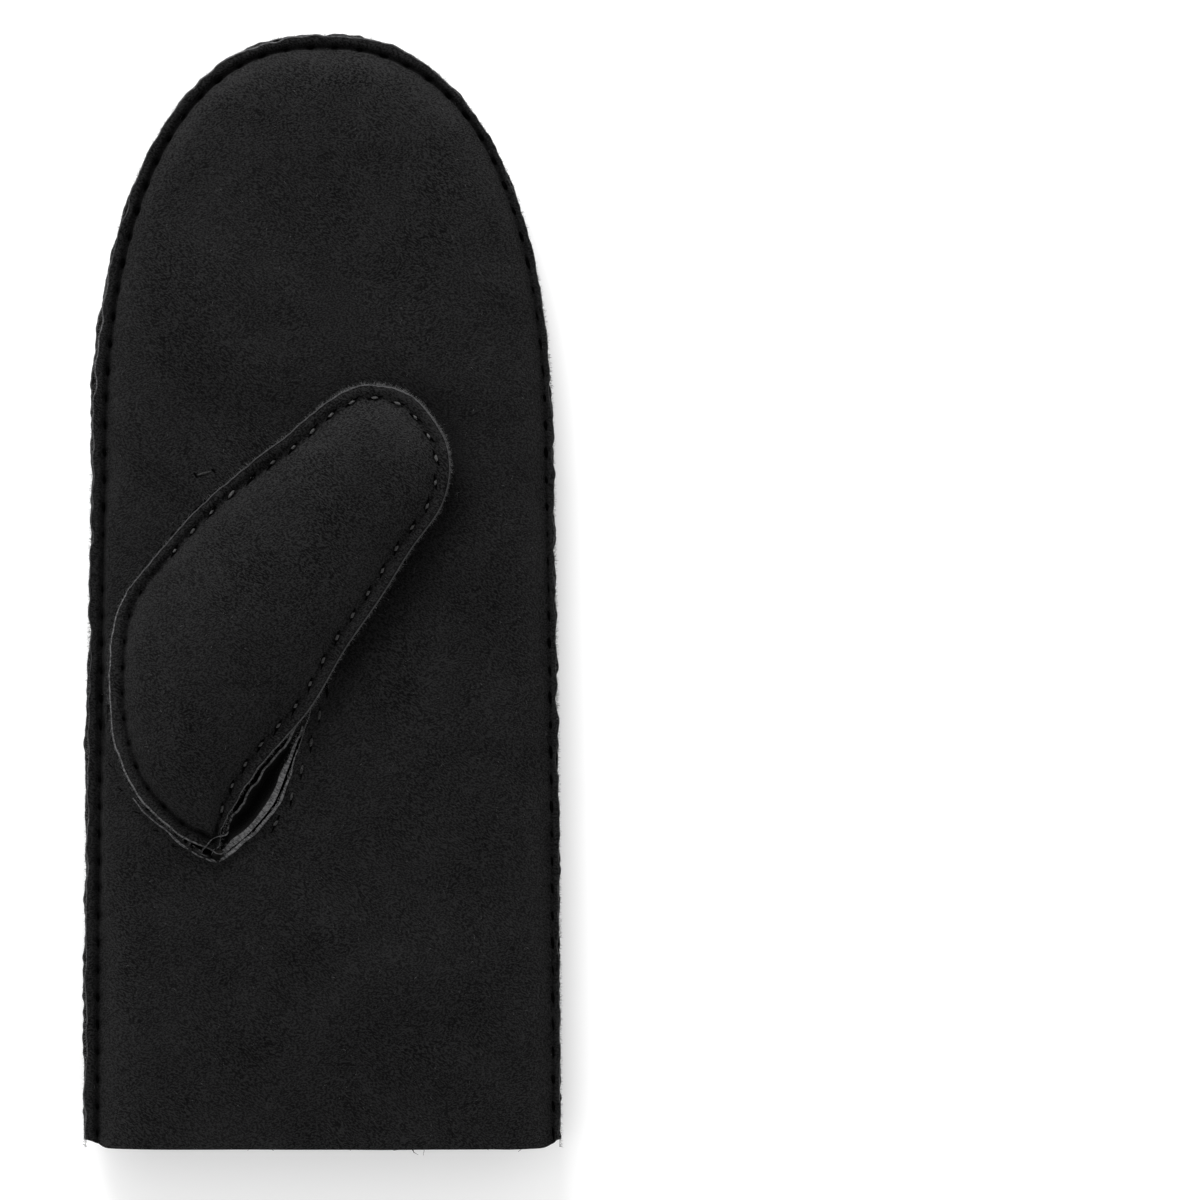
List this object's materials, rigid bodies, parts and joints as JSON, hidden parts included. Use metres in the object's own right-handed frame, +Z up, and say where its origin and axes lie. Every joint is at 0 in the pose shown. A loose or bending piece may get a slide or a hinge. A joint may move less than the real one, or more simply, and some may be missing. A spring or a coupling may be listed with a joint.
{
  "type": "sheepskin mitten",
  "caption": "Left-hand sheepskin mitten lying on its back, suede outside and wool inside, with a thumb folded over the palm and outside seams.",
  "frame": {"origin": "on the surface that the mitten lies on, under the middle of its length and width", "axes": "+Y towards the fingertips, +Z up from the back of the hand to the palm, +X away from the thumb's side"},
  "size_m": [0.1196, 0.28, 0.0439],
  "materials": {
    "back_suede": "napped black suede, with wool on the inner side",
    "palm_suede": "napped black suede, with wool on the inner side",
    "thumb_suede": "napped black suede, with wool on the inner side"
  },
  "bodies": {
    "root": {"back_panel": "back_suede", "palm_panel": "palm_suede", "thumb_front_panel": "thumb_suede", "thumb_back_panel": "thumb_suede"}
  },
  "joints": []
}
